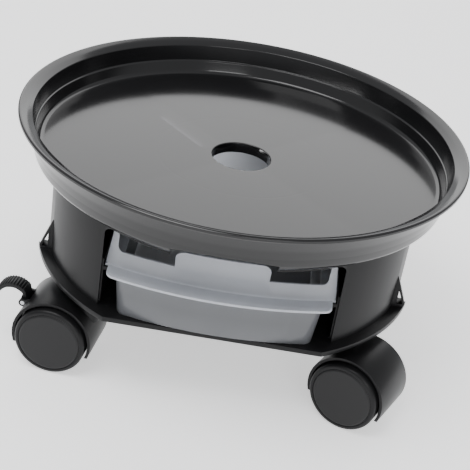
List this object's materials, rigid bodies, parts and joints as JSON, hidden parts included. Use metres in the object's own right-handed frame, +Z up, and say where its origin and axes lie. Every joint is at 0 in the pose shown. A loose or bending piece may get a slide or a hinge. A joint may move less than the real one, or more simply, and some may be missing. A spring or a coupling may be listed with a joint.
{
  "type": "plant pot caddy",
  "caption": "Round plant pot caddy: a shallow tray with a drain hole over a drum-shaped base with a pull-out water drawer, rolling on swivel casters, one with a foot brake.",
  "frame": {"origin": "on the floor under the tray's centre", "axes": "+Z up; the drawer faces and opens towards -Y; +X to the right of a person facing the drawer"},
  "size_m": [0.316, 0.316, 0.165],
  "materials": {
    "tray_plastic": "gloss black moulded polypropylene",
    "base_plastic": "satin black moulded polypropylene",
    "drawer_plastic": "milky translucent polypropylene",
    "caster_plastic": "satin black nylon",
    "wheel_plastic": "satin black hard plastic tread",
    "cover_plastic": "fine matt black plastic",
    "steel": "zinc-plated steel"
  },
  "bodies": {
    "base": {"tray": "tray_plastic", "base_shell": "base_plastic", "tray_screws": "steel", "front_left_stem": "steel", "front_left_grip_ring": "steel", "front_right_stem": "steel", "front_right_grip_ring": "steel", "rear_right_stem": "steel", "rear_right_grip_ring": "steel", "rear_left_stem": "steel", "rear_left_grip_ring": "steel"},
    "drawer": {"drawer": "drawer_plastic"},
    "front_left_fork": {"front_left_hood": "caster_plastic", "front_left_axle": "steel", "front_left_brake_pin": "steel"},
    "front_left_wheel_a": {"front_left_wheel_a": "wheel_plastic", "front_left_wheel_a_cover": "cover_plastic"},
    "front_left_wheel_b": {"front_left_wheel_b": "wheel_plastic", "front_left_wheel_b_cover": "cover_plastic"},
    "front_left_brake": {"front_left_brake_lever": "caster_plastic"},
    "front_right_fork": {"front_right_hood": "caster_plastic", "front_right_axle": "steel"},
    "front_right_wheel_a": {"front_right_wheel_a": "wheel_plastic", "front_right_wheel_a_cover": "cover_plastic"},
    "front_right_wheel_b": {"front_right_wheel_b": "wheel_plastic", "front_right_wheel_b_cover": "cover_plastic"},
    "rear_right_fork": {"rear_right_hood": "caster_plastic", "rear_right_axle": "steel"},
    "rear_right_wheel_a": {"rear_right_wheel_a": "wheel_plastic", "rear_right_wheel_a_cover": "cover_plastic"},
    "rear_right_wheel_b": {"rear_right_wheel_b": "wheel_plastic", "rear_right_wheel_b_cover": "cover_plastic"},
    "rear_left_fork": {"rear_left_hood": "caster_plastic", "rear_left_axle": "steel"},
    "rear_left_wheel_a": {"rear_left_wheel_a": "wheel_plastic", "rear_left_wheel_a_cover": "cover_plastic"},
    "rear_left_wheel_b": {"rear_left_wheel_b": "wheel_plastic", "rear_left_wheel_b_cover": "cover_plastic"}
  },
  "joints": [
    {"name": "drawer_slide", "type": "slide", "parent": "base", "child": "drawer", "axis": [0, -1, 0], "range_m": [0, 0.15]},
    {"name": "front_left_swivel", "type": "hinge", "parent": "base", "child": "front_left_fork", "pos_m": [-0.088, -0.081, 0.058], "axis": [0, 0, 1], "continuous": true},
    {"name": "front_left_wheel_a_spin", "type": "hinge", "parent": "front_left_fork", "child": "front_left_wheel_a", "pos_m": [-0.10632, -0.07842, 0.025], "axis": [-0.1392, -0.9903, 0], "continuous": true},
    {"name": "front_left_wheel_b_spin", "type": "hinge", "parent": "front_left_fork", "child": "front_left_wheel_b", "pos_m": [-0.10632, -0.07842, 0.025], "axis": [-0.1392, -0.9903, 0], "continuous": true},
    {"name": "front_left_brake_press", "type": "hinge", "parent": "front_left_fork", "child": "front_left_brake", "pos_m": [-0.13207, -0.07481, 0.0404], "axis": [-0.1392, -0.9903, 0], "range_deg": [0, 14]},
    {"name": "front_right_swivel", "type": "hinge", "parent": "base", "child": "front_right_fork", "pos_m": [0.088, -0.081, 0.058], "axis": [0, 0, 1], "continuous": true},
    {"name": "front_right_wheel_a_spin", "type": "hinge", "parent": "front_right_fork", "child": "front_right_wheel_a", "pos_m": [0.10448, -0.0894, 0.025], "axis": [0.454, 0.891, 0], "continuous": true},
    {"name": "front_right_wheel_b_spin", "type": "hinge", "parent": "front_right_fork", "child": "front_right_wheel_b", "pos_m": [0.10448, -0.0894, 0.025], "axis": [0.454, 0.891, 0], "continuous": true},
    {"name": "rear_right_swivel", "type": "hinge", "parent": "base", "child": "rear_right_fork", "pos_m": [0.088, 0.081, 0.058], "axis": [0, 0, 1], "continuous": true},
    {"name": "rear_right_wheel_a_spin", "type": "hinge", "parent": "rear_right_fork", "child": "rear_right_wheel_a", "pos_m": [0.10433, 0.08969, 0.025], "axis": [-0.4695, 0.8829, 0], "continuous": true},
    {"name": "rear_right_wheel_b_spin", "type": "hinge", "parent": "rear_right_fork", "child": "rear_right_wheel_b", "pos_m": [0.10433, 0.08969, 0.025], "axis": [-0.4695, 0.8829, 0], "continuous": true},
    {"name": "rear_left_swivel", "type": "hinge", "parent": "base", "child": "rear_left_fork", "pos_m": [-0.088, 0.081, 0.058], "axis": [0, 0, 1], "continuous": true},
    {"name": "rear_left_wheel_a_spin", "type": "hinge", "parent": "rear_left_fork", "child": "rear_left_wheel_a", "pos_m": [-0.10258, 0.09239, 0.025], "axis": [-0.6157, -0.788, 0], "continuous": true},
    {"name": "rear_left_wheel_b_spin", "type": "hinge", "parent": "rear_left_fork", "child": "rear_left_wheel_b", "pos_m": [-0.10258, 0.09239, 0.025], "axis": [-0.6157, -0.788, 0], "continuous": true}
  ]
}
